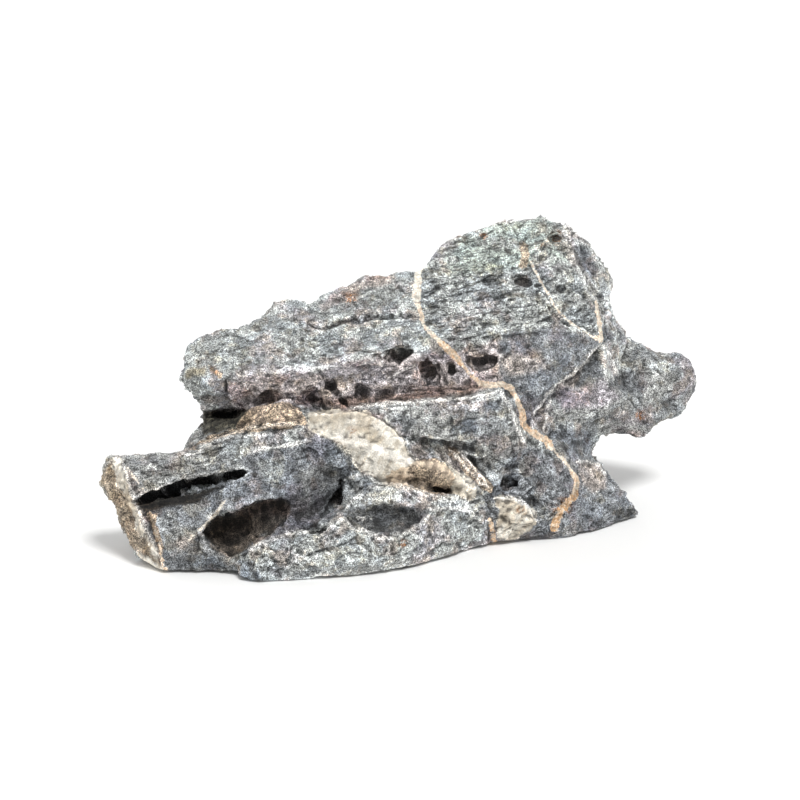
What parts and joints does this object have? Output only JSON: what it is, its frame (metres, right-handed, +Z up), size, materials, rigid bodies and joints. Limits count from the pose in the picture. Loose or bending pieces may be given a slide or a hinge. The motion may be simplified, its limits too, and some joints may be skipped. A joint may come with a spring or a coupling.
{
  "type": "seiryu stone",
  "caption": "Rugged grey limestone landscaping stone with overhanging ledges, pits, a front hollow and pale veins, standing on small flat spots.",
  "frame": {"origin": "on the surface the stone stands on, under the middle of its bounding box", "axes": "+X along the stone's length, to the right as seen from its show side; +Z up; the show side faces -Y"},
  "size_m": [0.2434, 0.1446, 0.1189],
  "materials": {
    "limestone": "rough weathered grey limestone with white calcite and ochre veins"
  },
  "bodies": {
    "root": {"stone": "limestone"}
  },
  "joints": []
}
